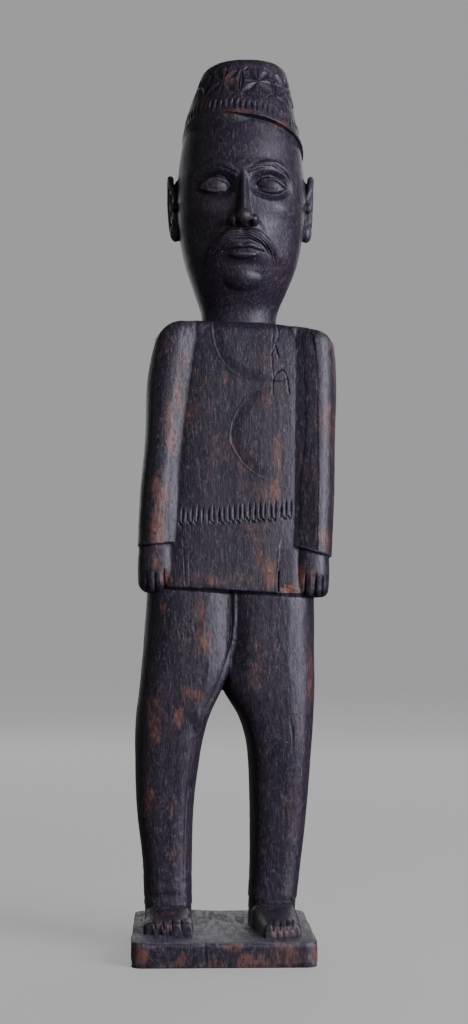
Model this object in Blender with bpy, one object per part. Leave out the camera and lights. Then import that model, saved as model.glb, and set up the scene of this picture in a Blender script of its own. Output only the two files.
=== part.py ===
# Standing ancestor figure on a low plinth, carved from one block of wood.
# The front faces -Y. The plinth's underside lies on Z = 0, with its centre at the origin.
import math

import bmesh
import bpy
from mathutils import Matrix, Vector

# Driving sizes, in metres
FIGURE_HEIGHT = 0.536
PLINTH_THICKNESS = 0.0147
PLINTH_MARGIN_LEFT = 0.0069
PLINTH_MARGIN_RIGHT = 0.0101
PLINTH_MARGIN_FRONT = 0.0165
PLINTH_MARGIN_BACK = 0.0295
PLINTH_CORNER_RADIUS = 0.007
PLINTH_EDGE_RADIUS = 0.0024

# The figure is drawn in millimetres at this height, from its soles to the top of its cap.
# Every form below is a share of the height through UNIT. X and Y start at the body's axis, Z at the soles.
DRAWN_HEIGHT = 536.0
UNIT = FIGURE_HEIGHT / DRAWN_HEIGHT

# Stations of a limb: height, centre X, centre Y, half width, half depth
LEFT_LEG = [
    (8, -33.5, -1, 14.4, 18), (40, -34.2, -1, 15.0, 18.5), (75, -35.6, -2, 17.2, 20.5), (110, -33.8, -3, 19.6, 23),
    (128, -31.0, -2.6, 21.9, 24.6), (146, -25.6, -2, 25.4, 26.5), (175, -19.6, 0, 28.8, 29), (212, -18, 0, 28, 28),
]
RIGHT_LEG = [
    (8, 30.0, -1, 14.0, 18), (40, 32.2, -1, 15.2, 18.5), (75, 34.4, -2, 16.5, 20.5), (110, 34.7, -3, 19.0, 23),
    (128, 32.8, -2.6, 22.4, 24.6), (146, 28.4, -2, 28.3, 26.5), (175, 27.7, 0, 29.5, 29), (212, 28, 0, 29, 28),
]
LEFT_TROUSER_HEM = 13.0
RIGHT_TROUSER_HEM = 16.0
TUNIC = [
    (204, 5, 0, 52.5, 31.5), (225, 6, 0, 52, 30), (260, 8, 0, 49, 28.5),
    (310, 11, 0, 48, 28), (350, 13, 0.5, 47, 27), (374, 13.5, 1, 42, 24),
]
TUNIC_HEM, TUNIC_HEM_SLANT = 206.0, 0.055
TUNIC_SQUARENESS = 4.0
SHOULDER_LINE = 371.0
LEFT_ARM = [
    (228, -40.6, -14, 12.0, 17), (260, -39.6, -12, 11.4, 17.5), (300, -36.2, -8, 11.4, 19),
    (335, -32.8, -5, 12.4, 21), (374, -26.4, -3, 12.6, 22),
]
RIGHT_ARM = [
    (224, 54.9, -14, 12.2, 17), (260, 56.2, -12, 12.4, 17.5), (300, 57.6, -8, 12.0, 19),
    (335, 57.5, -5, 13.2, 21), (370, 56.5, -3, 12.5, 22),
]
LEFT_CUFF, LEFT_CUFF_SLANT = 233.0, -0.10
RIGHT_CUFF, RIGHT_CUFF_SLANT = 228.5, 0.28
LEFT_HAND = [(204.5, -40.6, -14.5, 10.3, 14), (219, -41.4, -15.5, 10.6, 15), (240, -41.0, -14, 10.0, 14)]
RIGHT_HAND = [(202, 54.4, -14.5, 10.2, 14), (215, 54.8, -15.5, 10.6, 15), (240, 54.8, -14, 10.2, 14)]

HAND_SQUARENESS = 2.7

HEAD = [
    (358, 11, 3, 23.5, 22), (378, 11, 2.5, 24, 23.5), (392, 11.5, 0.5, 29, 29.5), (410, 12, -1, 35.5, 36),
    (432, 12, -0.5, 39.5, 40.5), (455, 12, 0, 40.3, 42), (478, 12, 1, 38.2, 40.5), (500, 12.3, 2, 34, 36),
    (522, 12.5, 3, 26, 27),
]
HEAD_X = 12.0
HEAD_SQUARENESS = 2.3
# The cap's rim, the brow, the nose's base and the chin are a third of the face apart
BROW_LINE, NOSE_BASE, CHIN = 461.0, 426.5, 392.0
EYE_LINE = BROW_LINE - 9

# A cap station ends with its tilts, the drop of the ring for each millimetre towards the back and to +X
CAP_RIM = 483.5
CAP = [
    (CAP_RIM, 13.3, 2, 38.5, 41.6, 0.30, 0.15), (499, 12.8, 3, 35.0, 38.0, 0.22, 0.09),
    (515, 13.4, 4, 31.2, 33.5, 0.12, 0.04), (529, 13.8, 5, 26.6, 28.5, 0.05, 0), (536, 15.0, 5, 23.5, 26.0, 0.03, 0),
]
CAP_SQUARENESS = 2.2
ROSETTES, ROSETTE_START = 10, 14
# Each cut of a rosette: its turn from upright in degrees, and its width
ROSETTE_CUTS = [(0, 2.6), (45, 5.0), (135, 5.0), (180, 2.6), (225, 5.0), (315, 5.0)]
RIM_STROKES = 28

# A foot's stations run from the heel to the toes: Y, centre X, centre Z, half width, half height
LEFT_FOOT = [(27, -33.5, 1, 11.5, 10), (6, -33.5, 4, 13.0, 12), (-22, -33.2, 2, 13.9, 9.6), (-40, -33.0, 0, 13.6, 8)]
RIGHT_FOOT = [(27, 30.0, 1, 11.5, 10), (6, 30.6, 5, 13.0, 13), (-24, 33.2, 2, 12.0, 9.6), (-44, 34.2, 0, 10.4, 8)]
FEET_LEFT, FEET_RIGHT = -47.8, 44.6
FEET_FRONT, FEET_BACK = -52.0, 27.0

PLINTH_CENTRE_X = ((FEET_LEFT + FEET_RIGHT) * UNIT + PLINTH_MARGIN_RIGHT - PLINTH_MARGIN_LEFT) / 2
PLINTH_CENTRE_Y = ((FEET_FRONT + FEET_BACK) * UNIT + PLINTH_MARGIN_BACK - PLINTH_MARGIN_FRONT) / 2
WOOD_COLOUR = (0.045, 0.034, 0.034, 1.0)


def placed(x, y, z):
    """A drawn point in metres: the soles stand on the plinth, whose centre is the origin."""
    return Vector((x * UNIT - PLINTH_CENTRE_X, y * UNIT - PLINTH_CENTRE_Y, z * UNIT + PLINTH_THICKNESS))


def station_at(stations, place):
    """The values at a place between the stations, on a smooth curve through them."""
    rows = sorted(stations)
    place = min(max(place, rows[0][0]), rows[-1][0])
    i = 0
    while i < len(rows) - 2 and place > rows[i + 1][0]:
        i += 1
    a, b = rows[i], rows[i + 1]
    before, after = rows[max(i - 1, 0)], rows[min(i + 2, len(rows) - 1)]
    span = b[0] - a[0]
    t = (place - a[0]) / span
    values = []
    for k in range(1, len(a)):
        leave = (b[k] - before[k]) / (b[0] - before[0]) * span
        arrive = (after[k] - a[k]) / (after[0] - a[0]) * span
        curve = (2 * t**3 - 3 * t**2 + 1) * a[k] + (t**3 - 2 * t**2 + t) * leave
        values.append(curve + (3 * t**2 - 2 * t**3) * b[k] + (t**3 - t**2) * arrive)
    return values


def squared_oval(half_a, half_b, squareness, sides):
    """Points round an oval whose corners fill out as the squareness grows over 2."""
    points = []
    for i in range(sides):
        angle = 2 * math.pi * (i + 0.5) / sides
        c, s = math.cos(angle), math.sin(angle)
        reach = (abs(c / half_a) ** squareness + abs(s / half_b) ** squareness) ** (-1 / squareness)
        points.append((reach * c, reach * s))
    return points


def rounding(radius, steps=3):
    """Pairs of distance from a limb's end and inset, round a quarter circle from the side to the end."""
    turns = [0.93 * math.pi / 2 * (k + 1) / steps for k in range(steps)] if radius else []
    return [(radius * (1 - math.sin(a)), radius * (1 - math.cos(a))) for a in turns]


def ring_places(low, high, rings, round_low=0.0, round_high=0.0):
    """The places of a limb's rings with the inset of each."""
    middle = [low + round_low + (high - low - round_low - round_high) * k / (rings - 1) for k in range(rings)]
    return (
        [(low + d, inset) for d, inset in reversed(rounding(round_low))]
        + [(place, 0.0) for place in middle]
        + [(high - d, inset) for d, inset in rounding(round_high)]
    )


def loft(name, rings):
    """A closed helper solid through rings of points, each with as many points as the next."""
    bm = bmesh.new()
    loops = [[bm.verts.new(point) for point in ring] for ring in rings]
    for lower, upper in zip(loops, loops[1:]):
        for i in range(len(lower)):
            j = (i + 1) % len(lower)
            bm.faces.new((lower[i], lower[j], upper[j], upper[i]))
    bm.faces.new(loops[0][::-1])
    bm.faces.new(loops[-1])
    bmesh.ops.recalc_face_normals(bm, faces=bm.faces)
    mesh = bpy.data.meshes.new(name)
    bm.to_mesh(mesh)
    bm.free()
    return bpy.data.objects.new(name, mesh)


def limb(name, stations, places, squareness, sides, slant=0.0, slant_height=20.0):
    """An upright form: each ring takes its centre and half sizes from the stations.

    The slant is the drop of its lowest ring for each millimetre to +X, and it fades over the slant height.
    """
    rings = []
    low = places[0][0]
    for z, inset in places:
        x, y, half_width, half_depth = station_at(stations, z)[:4]
        drop = slant * max(0.0, 1 - (z - low) / slant_height)
        oval = squared_oval(half_width - inset, half_depth - inset, squareness, sides)
        rings.append([placed(x + a, y + b, z - drop * a) for a, b in oval])
    return loft(name, rings)


def front_of(stations, squareness, x, z):
    """The drawn Y of a limb's front at a drawn X and Z."""
    centre_x, centre_y, half_width, half_depth = station_at(stations, z)[:4]
    share = min(abs(x - centre_x) / half_width, 0.98)
    return centre_y - half_depth * (1 - share**squareness) ** (1 / squareness)


def swept(name, path, radii, sides):
    """A round rod through drawn points, with a radius at each point."""
    rings = []
    for i, point in enumerate(path):
        ahead, behind = path[min(i + 1, len(path) - 1)], path[max(i - 1, 0)]
        along = (Vector(ahead) - Vector(behind)).normalized()
        across = along.cross(Vector((0, 1, 0))).normalized()
        out = along.cross(across)
        ring = [2 * math.pi * k / sides for k in range(sides)]
        rings.append([
            placed(*(Vector(point) + (across * math.cos(a) + out * math.sin(a)) * radii[i])) for a in ring
        ])
    return loft(name, rings)


def ball(name, centre, radii, segments=12, rings=8, turn=Matrix.Identity(3)):
    """An ellipsoid at a drawn centre with drawn radii."""
    bm = bmesh.new()
    bmesh.ops.create_uvsphere(bm, u_segments=segments, v_segments=rings, radius=1)
    for vert in bm.verts:
        spread = turn @ Vector([vert.co[k] * radii[k] for k in range(3)])
        vert.co = placed(*(Vector(centre) + spread))
    mesh = bpy.data.meshes.new(name)
    bm.to_mesh(mesh)
    bm.free()
    return bpy.data.objects.new(name, mesh)


def chip(name, centre, along, out, length, width, depth):
    """A knife-cut chip: a long eight-faced cutter, along the cut and out of the surface."""
    along, out = Vector(along).normalized(), Vector(out).normalized()
    across = along.cross(out).normalized()
    middle = Vector(centre)
    ends = [middle - along * length / 2, middle + along * length / 2]
    ring = [across * width / 2, out * depth, -across * width / 2, -out * depth]
    bm = bmesh.new()
    tips = [bm.verts.new(placed(*end)) for end in ends]
    waist = [bm.verts.new(placed(*(middle + spread))) for spread in ring]
    for i in range(4):
        for tip in tips:
            bm.faces.new((tip, waist[i], waist[(i + 1) % 4]))
    bmesh.ops.recalc_face_normals(bm, faces=bm.faces)
    mesh = bpy.data.meshes.new(name)
    bm.to_mesh(mesh)
    bm.free()
    return bpy.data.objects.new(name, mesh)


def make_plinth():
    """The worn block under the feet, as wide and deep as the feet and its margins."""
    width = (FEET_RIGHT - FEET_LEFT) * UNIT + PLINTH_MARGIN_LEFT + PLINTH_MARGIN_RIGHT
    depth = (FEET_BACK - FEET_FRONT) * UNIT + PLINTH_MARGIN_FRONT + PLINTH_MARGIN_BACK
    bm = bmesh.new()
    bmesh.ops.create_cube(bm, size=1)
    bmesh.ops.scale(bm, vec=(width, depth, PLINTH_THICKNESS), verts=bm.verts)
    bmesh.ops.translate(bm, vec=(0, 0, PLINTH_THICKNESS / 2), verts=bm.verts)
    upright = [e for e in bm.edges if abs(e.verts[0].co.z - e.verts[1].co.z) > PLINTH_THICKNESS / 2]
    bmesh.ops.bevel(bm, geom=upright, offset=PLINTH_CORNER_RADIUS, segments=4, profile=0.5, affect="EDGES")
    rim = [e for e in bm.edges if abs(e.verts[0].co.z - e.verts[1].co.z) < PLINTH_THICKNESS / 2]
    bmesh.ops.bevel(bm, geom=rim, offset=PLINTH_EDGE_RADIUS, segments=2, profile=0.5, affect="EDGES")
    mesh = bpy.data.meshes.new("ancestor_figure")
    bm.to_mesh(mesh)
    bm.free()
    return bpy.data.objects.new("ancestor_figure", mesh)


def make_legs():
    """Two trouser legs that meet at the crotch, each with a plain hem over the foot."""
    return [
        limb("left_leg", LEFT_LEG, ring_places(LEFT_TROUSER_HEM, 212, 11), 3.2, 20),
        limb("right_leg", RIGHT_LEG, ring_places(RIGHT_TROUSER_HEM, 210, 11), 3.2, 20),
    ]


def make_feet():
    """Two short feet, each with five toes side by side."""
    solids = []
    toes = {
        "left": (LEFT_FOOT, (-22.3, -27.9, -33.3, -38.6, -43.6), (-43.0, -43.0, -42.2, -41.0, -39.0)),
        "right": (RIGHT_FOOT, (26.9, 31.2, 35.2, 39.0, 42.6), (-52.0, -51.2, -50.2, -48.6, -46.6)),
    }
    for side, (stations, centres, fronts) in toes.items():
        rings = []
        back, front = stations[0][0], stations[-1][0]
        for y, inset in ring_places(front, back, 6, 1.5, 7):
            x, z, half_width, half_height = station_at(stations, y)
            oval = squared_oval(half_width - inset, half_height - inset, 2.6, 16)
            rings.append([placed(x + a, y, z + b) for a, b in oval])
        solids.append(loft(side + "_foot", rings))
        for n, (x, tip) in enumerate(zip(centres, fronts)):
            half = abs(centres[1] - centres[0]) * (0.66 if n == 0 else 0.6)
            rings = []
            for y, inset in ring_places(tip, front + 6 + 0.4 * n, 2, 2.2, 0):
                oval = squared_oval(half - inset, 5.6 - inset - 0.25 * n, 2.4, 8)
                rings.append([placed(x + a, y, 3.6 + b) for a, b in oval])
            solids.append(loft(side + "_toe", rings))
    return solids


def make_tunic():
    """The straight tunic, whose hem slopes down a little towards +X."""
    places = ring_places(TUNIC_HEM, SHOULDER_LINE, 8, 0, 6)
    return [limb("tunic", TUNIC, places, TUNIC_SQUARENESS, 28, TUNIC_HEM_SLANT)]


def make_arms():
    """Two sleeves that end in slanted cuffs over closed hands."""
    return [
        limb("left_arm", LEFT_ARM, ring_places(LEFT_CUFF, 373, 7, 0, 11), 2.5, 16, LEFT_CUFF_SLANT),
        limb("right_arm", RIGHT_ARM, ring_places(RIGHT_CUFF, 369, 7, 0, 11), 2.5, 16, RIGHT_CUFF_SLANT),
        limb("left_hand", LEFT_HAND, ring_places(204.5, 238, 3, 8, 0), HAND_SQUARENESS, 16),
        limb("right_hand", RIGHT_HAND, ring_places(202, 236, 3, 8, 0), HAND_SQUARENESS, 16),
    ]


def cut_fingers():
    """Three cuts on each hand that part its four fingers, from the knuckles to under the fist."""
    cutters = []
    for hand, turn in ((LEFT_HAND, -1), (RIGHT_HAND, 1)):
        low = hand[0][0]
        x, _, half_width, _ = station_at(hand, low + 10)
        for share in (-0.42, 0.14, 0.66):
            cut_x = x + turn * share * half_width
            front = front_of(hand, HAND_SQUARENESS, cut_x, low + 10)
            cutters.append(chip("finger_cut", (cut_x, front - 0.2, low + 6), (0, 0.16, 1), (0, -1, 0), 27, 2.2, 3.4))
    return cutters


def make_head():
    """The head on its neck. The face is a plain one with a moustache, set out in three equal parts."""
    brow, nose_base, chin = BROW_LINE, NOSE_BASE, CHIN

    def front(x, z):
        return front_of(HEAD, HEAD_SQUARENESS, x, z)

    solids = [limb("head", HEAD, ring_places(358, 522, 12, 0, 8), HEAD_SQUARENESS, 28)]
    nose = []
    for z, half, proud in ((brow + 2, 3.4, 0.5), (brow - 12, 3.9, 4.2), (nose_base + 12, 5.0, 8.4),
                           (nose_base + 4, 7.2, 11.0), (nose_base - 0.5, 6.4, 9.6)):
        tip = front(HEAD_X, z) - proud
        oval = squared_oval(half, proud + 6, 2.0, 12)
        nose.append([placed(HEAD_X + a, tip + proud + 6 + b, z) for a, b in oval])
    solids.append(loft("nose", nose[::-1]))
    chin_z = chin + 6
    solids.append(ball("chin", (HEAD_X, front(HEAD_X, chin_z) + 8.5, chin_z), (15, 11, 10)))
    lip_z = nose_base - 17
    solids.append(ball("lower_lip", (HEAD_X, front(HEAD_X, lip_z) + 0.6, lip_z), (8.6, 3.4, 2.5)))
    for side in (-1, 1):
        arc = [(4, brow - 1), (11, brow + 3), (19, brow + 3.4), (26, brow), (31, brow - 7)]
        path = [(HEAD_X + side * x, front(HEAD_X + side * x, z) + 0.8, z) for x, z in arc]
        solids.append(swept("brow", path, (1.8, 2.5, 2.5, 2.2, 1.2), 8))
        sweep = [(0.5, nose_base - 5.5), (8, nose_base - 6), (15, nose_base - 10), (20.5, nose_base - 17)]
        path = [(HEAD_X + side * x, front(HEAD_X + side * x, z) + 0.4, z) for x, z in sweep]
        solids.append(swept("moustache", path, (3.2, 3.9, 3.3, 1.1), 8))
        ear = (HEAD_X + side * 39.0, 5, (brow + nose_base) / 2 + 3)
        solids.append(ball("ear", ear, (6.8, 8.5, 21.0), 12, 8))
    return solids


def make_eyes():
    """Almond eyes, set in the sockets after those are cut."""
    eyes = []
    for side in (-1, 1):
        x = HEAD_X + side * 16.5
        middle = (x, front_of(HEAD, HEAD_SQUARENESS, x, EYE_LINE) + 6.4, EYE_LINE)
        eyes.append(ball("eye", middle, (9.2, 5.4, 5.6), 14, 8))
    return eyes


def make_hollows():
    """The cutters of the eye sockets and of the ears' hollows."""
    cutters = []
    for side in (-1, 1):
        x = HEAD_X + side * 17
        front = front_of(HEAD, HEAD_SQUARENESS, x, EYE_LINE)
        cutters.append(ball("socket", (x, front - 2.6, EYE_LINE - 0.5), (13.5, 7.0, 8.6), 16, 8))
        cutters.append(ball("ear_hollow", (HEAD_X + side * 45.2, -2.5, 448), (3.6, 7.0, 14), 10, 8))
    return cutters


def cap_place(angle, height, inset=0.0):
    """A drawn point on the cap's side, at an angle from the front and the height of a ring."""
    x, y, half_width, half_depth, tilt_back, tilt_side = station_at(CAP, height)
    a, b = math.sin(angle), -math.cos(angle)
    reach = abs(a / (half_width - inset)) ** CAP_SQUARENESS + abs(b / (half_depth - inset)) ** CAP_SQUARENESS
    a, b = a * reach ** (-1 / CAP_SQUARENESS), b * reach ** (-1 / CAP_SQUARENESS)
    return Vector((x + a, y + b, height - tilt_back * (y + b) - tilt_side * a))


def make_cap(sides=28):
    """The tapering cap, tilted back, whose rim stands a little proud of the forehead."""
    rings = []
    for height, inset in ring_places(CAP_RIM, 536, 5, 0, 9):
        rings.append([placed(*cap_place(2 * math.pi * k / sides, height, inset)) for k in range(sides)])
    return [loft("cap", rings)]


def cap_frame(angle, height):
    """A place on the cap's side with the ways out of it, up it and round it."""
    up = (cap_place(angle, height + 1) - cap_place(angle, height - 1)).normalized()
    round_it = (cap_place(angle + 0.02, height) - cap_place(angle - 0.02, height)).normalized()
    return cap_place(angle, height), round_it.cross(up).normalized(), up, round_it


def cut_cap_chips():
    """Chip-cut rosettes round the cap, over a row of upright strokes at its rim."""
    cutters = []
    for n in range(ROSETTES):
        angle = math.radians(ROSETTE_START) + 2 * math.pi * n / ROSETTES
        centre, out, up, round_it = cap_frame(angle, 509)
        for turn, wide in ROSETTE_CUTS:
            along = up * math.cos(math.radians(turn)) + round_it * math.sin(math.radians(turn))
            middle = centre + along * 6.0 - out * 0.1
            cutters.append(chip("petal", middle, along, out, 9.6, wide, 1.5))
    for n in range(RIM_STROKES):
        centre, out, up, _ = cap_frame(2 * math.pi * (n + 0.5) / RIM_STROKES, 490.5)

        cutters.append(chip("rim_stroke", centre, up, out, 8.0, 2.4, 1.2))
    return cutters


def groove(name, points, width, depth):
    """A V-shaped groove cutter along drawn X and Z points on the tunic's front."""
    path = [Vector((x, front_of(TUNIC, TUNIC_SQUARENESS, x, z), z)) for x, z in points]
    rings = []
    for i, point in enumerate(path):
        along = (path[min(i + 1, len(path) - 1)] - path[max(i - 1, 0)]).normalized()
        across = along.cross(Vector((0, 1, 0))).normalized() * width / 2
        deep = Vector((0, depth, 0))
        rings.append([placed(*(point + spread)) for spread in (across, deep, -across, -deep)])
    return loft(name, rings)


def cut_tunic_lines():
    """The jacket's two curved front edges and the row of upright cuts that makes the sash."""
    neck_curve = [
        (48 - 54 * math.cos(a), 388 - 56 * math.sin(a)) for a in [math.radians(14 + 66 * k / 9) for k in range(10)]
    ]
    skirt_curve = [
        (38 - 32.5 * math.sin(a), 302.5 + 29 * math.cos(a)) for a in [math.radians(14 + 15.2 * k) for k in range(11)]
    ]
    cutters = [groove("neck_curve", neck_curve, 2.2, 1.3), groove("skirt_curve", skirt_curve, 2.2, 1.3)]
    cuts = 22
    for n in range(cuts):
        share = n / (cuts - 1)
        x = -25 + 66.5 * share
        z = 249.8 + 4.2 * share
        middle = (x, front_of(TUNIC, TUNIC_SQUARENESS, x, z), z)
        cutters.append(chip("sash_cut", middle, (0.02 * (n % 2), 0, 1), (0, -1, 0), 13.0, 2.0, 1.3))
        if n % 2:
            foot = (x - 1.4, front_of(TUNIC, TUNIC_SQUARENESS, x, z), z - 6.2)
            cutters.append(chip("sash_foot", foot, (1, 0, 0.25), (0, -1, 0), 3.8, 2.6, 1.2))
    slit = (33.5, front_of(TUNIC, TUNIC_SQUARENESS, 33.5, 209), 209)
    cutters.append(chip("hem_slit", slit, (0, 0, 1), (0, -1, 0), 16, 1.6, 2.6))
    return cutters


def put_away(collection, solids):
    """Files the helper solids in a collection that isn't rendered."""
    for solid in solids:
        solid.hide_render = True
        solid.display_type = "WIRE"
        collection.objects.link(solid)


def add_boolean(obj, operation, name, solids):
    """One Boolean modifier that joins or cuts with a whole collection of helper solids."""
    collection = bpy.data.collections.new(name)
    bpy.context.scene.collection.children.link(collection)
    put_away(collection, solids)
    modifier = obj.modifiers.new(name, "BOOLEAN")
    modifier.operation = operation
    modifier.operand_type = "COLLECTION"
    modifier.collection = collection
    modifier.solver = "EXACT"


def wood():
    """Dark, hand-polished wood."""
    material = bpy.data.materials.new("dark_wood")
    material.use_nodes = True
    shader = material.node_tree.nodes["Principled BSDF"]
    shader.inputs["Base Color"].default_value = WOOD_COLOUR
    shader.inputs["Roughness"].default_value = 0.5
    return material


def main():
    for obj in list(bpy.data.objects):
        bpy.data.objects.remove(obj)
    figure = make_plinth()
    figure.data.materials.append(wood())
    shown = bpy.data.collections.new("ancestor figure")
    bpy.context.scene.collection.children.link(shown)
    shown.objects.link(figure)
    body = make_tunic() + make_legs() + make_feet() + make_arms() + make_head() + make_cap()
    add_boolean(figure, "UNION", "body forms", body)
    add_boolean(figure, "DIFFERENCE", "hollows", make_hollows())
    add_boolean(figure, "UNION", "eyes", make_eyes())
    add_boolean(figure, "DIFFERENCE", "chip cuts", cut_cap_chips() + cut_tunic_lines() + cut_fingers())


main()
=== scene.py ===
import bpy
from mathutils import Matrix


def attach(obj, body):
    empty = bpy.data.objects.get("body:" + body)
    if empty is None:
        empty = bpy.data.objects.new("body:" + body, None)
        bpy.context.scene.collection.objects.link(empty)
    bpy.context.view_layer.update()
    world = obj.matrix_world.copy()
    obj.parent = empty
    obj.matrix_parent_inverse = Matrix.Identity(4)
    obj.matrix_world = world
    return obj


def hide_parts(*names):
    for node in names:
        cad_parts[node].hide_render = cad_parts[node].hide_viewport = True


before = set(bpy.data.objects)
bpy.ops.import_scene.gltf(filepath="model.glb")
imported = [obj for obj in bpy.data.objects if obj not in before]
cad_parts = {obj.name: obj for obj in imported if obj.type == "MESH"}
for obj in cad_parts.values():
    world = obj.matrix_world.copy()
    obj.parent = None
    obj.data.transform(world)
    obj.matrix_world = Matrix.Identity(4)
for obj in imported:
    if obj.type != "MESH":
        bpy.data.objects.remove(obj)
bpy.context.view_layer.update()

import itertools
import math

import bmesh
import bpy
import numpy as np
from mathutils import Matrix, Vector

# The figure is drawn in millimetres, with its soles at height 0 and its front to -Y.
# This sets the drawing on the plinth, in the frame's metres.
figurePlace = Matrix.Translation((0, 0.006, 0.0147)) @ Matrix.Scale(0.001, 4)
carving = {"quickVoxel": 1.15, "soften": 4, "mostTriangles": 188000, "dustTop": 26.0}


def alongStations(stations, place):
    # the values at a place between the stations, on a smooth curve through them
    rows = sorted(stations)
    place = min(max(place, rows[0][0]), rows[-1][0])
    i = 0
    while i < len(rows) - 2 and place > rows[i + 1][0]:
        i += 1
    a, b = rows[i], rows[i + 1]
    before, after = rows[max(i - 1, 0)], rows[min(i + 2, len(rows) - 1)]
    span = b[0] - a[0]
    t = (place - a[0]) / span
    values = []
    for k in range(1, len(a)):
        leave = (b[k] - before[k]) / (b[0] - before[0]) * span
        arrive = (after[k] - a[k]) / (after[0] - a[0]) * span
        curve = (2 * t**3 - 3 * t**2 + 1) * a[k] + (t**3 - 2 * t**2 + t) * leave
        values.append(curve + (3 * t**2 - 2 * t**3) * b[k] + (t**3 - t**2) * arrive)
    return values


def manyAlong(stations, places):
    # the same for an array of places, one array for each value
    rows = sorted(stations)
    samples = np.linspace(rows[0][0], rows[-1][0], 240)
    table = np.array([alongStations(stations, s) for s in samples])
    return [np.interp(places, samples, column) for column in table.T]


def ringPlaces(low, high, rings, roundLow=0.0, roundHigh=0.0):
    # places of a form's rings, each with its inset where an end is rounded
    turns = [0.97 * math.pi / 2 * (k + 1) / 7 for k in range(7)]

    def rounded(radius):
        return [(radius * (1 - math.sin(a)), radius * (1 - math.cos(a))) for a in turns] if radius else []

    room = high - low - roundLow - roundHigh
    middle = [(low + roundLow + room * k / (rings - 1), 0.0) for k in range(rings)]
    return ([(low + d, inset) for d, inset in reversed(rounded(roundLow))] + middle
            + [(high - d, inset) for d, inset in rounded(roundHigh)])


def ringedCylinder(sides, rings):
    form = bmesh.new()
    bmesh.ops.create_cone(form, cap_ends=True, cap_tris=False, segments=sides, radius1=1, radius2=1, depth=2)
    uprights = [e for e in form.edges if abs(e.verts[0].co.z - e.verts[1].co.z) > 1]
    bmesh.ops.subdivide_edges(form, edges=uprights, cuts=rings - 2, use_grid_fill=True)
    return form


def onOutline(c, s, halfWidth, halfDepth, squareness):
    # where a ring's outline is, in the direction c, s from its centre
    reach = (abs(c / halfWidth) ** squareness + abs(s / halfDepth) ** squareness) ** (-1 / squareness)
    return reach * c, reach * s


def makeDrum(stations, places, squareness, sides=96, slant=0.0, lying=False, tune=None):
    # a closed form whose rings take their centre and half sizes from the stations
    form = ringedCylinder(sides, len(places))
    rows = [alongStations(stations, place) for place, inset in places]
    for vert in form.verts:
        level = round((vert.co.z + 1) / 2 * (len(places) - 1))
        place, inset = places[level]
        across, other, halfWidth, halfDepth = rows[level][:4]
        a, b = onOutline(vert.co.x, vert.co.y, halfWidth - inset, halfDepth - inset, squareness)
        if lying:
            vert.co = (across + a, place, other + b)
        else:
            drop = slant * max(0.0, 1 - (place - places[0][0]) / 20)
            vert.co = (across + a, other + b, place - drop * a)
        if tune:
            vert.co = tune(vert.co.copy())
    return form


def makeRod(path, sides=18, steps=30, facing=(0, 1, 0)):
    # a round rod through points that end with a radius, with a ball at each end
    form = ringedCylinder(sides, steps + 1)
    rows = [(k, *point) for k, point in enumerate(path)]
    last = len(path) - 1
    for vert in form.verts:
        t = last * round((vert.co.z + 1) / 2 * steps) / steps
        x, y, z, radius = alongStations(rows, t)
        ahead, behind = alongStations(rows, t + 0.02), alongStations(rows, t - 0.02)
        along = Vector(ahead[:3]) - Vector(behind[:3])
        side = along.cross(Vector(facing)).normalized()
        out = along.cross(side).normalized()
        vert.co = Vector((x, y, z)) + (side * vert.co.x + out * vert.co.y) * radius
    for x, y, z, radius in (path[0], path[-1]):
        place = Matrix.Translation((x, y, z))
        bmesh.ops.create_uvsphere(form, u_segments=16, v_segments=10, radius=radius, matrix=place)
    return form


def makeFacet(arm, steps=60):
    # a flat facet down a sleeve, from its ridge to its border with the tunic
    rows, centre = arm["facet"], arm["stations"][0][1]
    form = ringedCylinder(4, steps + 1)
    low, high = rows[0][0], rows[-1][0]
    for vert in form.verts:
        height = low + (high - low) * (vert.co.z + 1) / 2
        ridgeX, ridgeY, borderX, borderY = alongStations(rows, height)
        corner = round(math.atan2(vert.co.y, vert.co.x) / (math.pi / 2)) % 4
        x, y = ((ridgeX, ridgeY), (borderX, borderY), (borderX, borderY + 16), (ridgeX, ridgeY + 16))[corner]
        drop = arm["slant"] * max(0.0, 1 - (height - low) / 20)
        vert.co = (x, y, height - drop * (x - centre))
    return form


def makeBall(centre, radii, turn=0.0):
    form = bmesh.new()
    place = Matrix.Translation(centre) @ Matrix.Rotation(turn, 4, "Y") @ Matrix.Diagonal((*radii, 1))
    bmesh.ops.create_uvsphere(form, u_segments=40, v_segments=26, radius=1, matrix=place)
    return form


def frontOf(stations, squareness, x, z):
    # where a form's front is, at a place across and up
    centreX, centreY, halfWidth, halfDepth = alongStations(stations, z)[:4]
    share = min(abs(x - centreX) / halfWidth, 0.98)
    return centreY - halfDepth * (1 - share**squareness) ** (1 / squareness)


def settle(piece):
    # keeps the result of the modifiers as the piece's own mesh
    settled = bpy.data.meshes.new_from_object(piece.evaluated_get(bpy.context.evaluated_depsgraph_get()))
    rough = piece.data
    piece.modifiers.clear()
    piece.data = settled
    bpy.data.meshes.remove(rough)


def addObject(name, data):
    made = bpy.data.objects.new(name, data)
    bpy.context.scene.collection.objects.link(made)
    return made


def mergeForms(name, forms, voxel):
    # all the forms of a piece, grown together into one skin
    whole = bmesh.new()
    for form in forms:
        bmesh.ops.recalc_face_normals(form, faces=form.faces)
        loose = bpy.data.meshes.new("form")
        form.to_mesh(loose)
        form.free()
        whole.from_mesh(loose)
        bpy.data.meshes.remove(loose)
    mesh = bpy.data.meshes.new(name)
    whole.to_mesh(mesh)
    whole.free()
    piece = addObject(name, mesh)
    join = piece.modifiers.new("join", "REMESH")
    join.mode = "VOXEL"
    join.voxel_size = voxel
    soften = piece.modifiers.new("soften", "SMOOTH")
    soften.factor = 0.5
    soften.iterations = carving["soften"]
    settle(piece)
    print(name, "grown together:", len(piece.data.polygons), "faces")
    return piece


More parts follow.
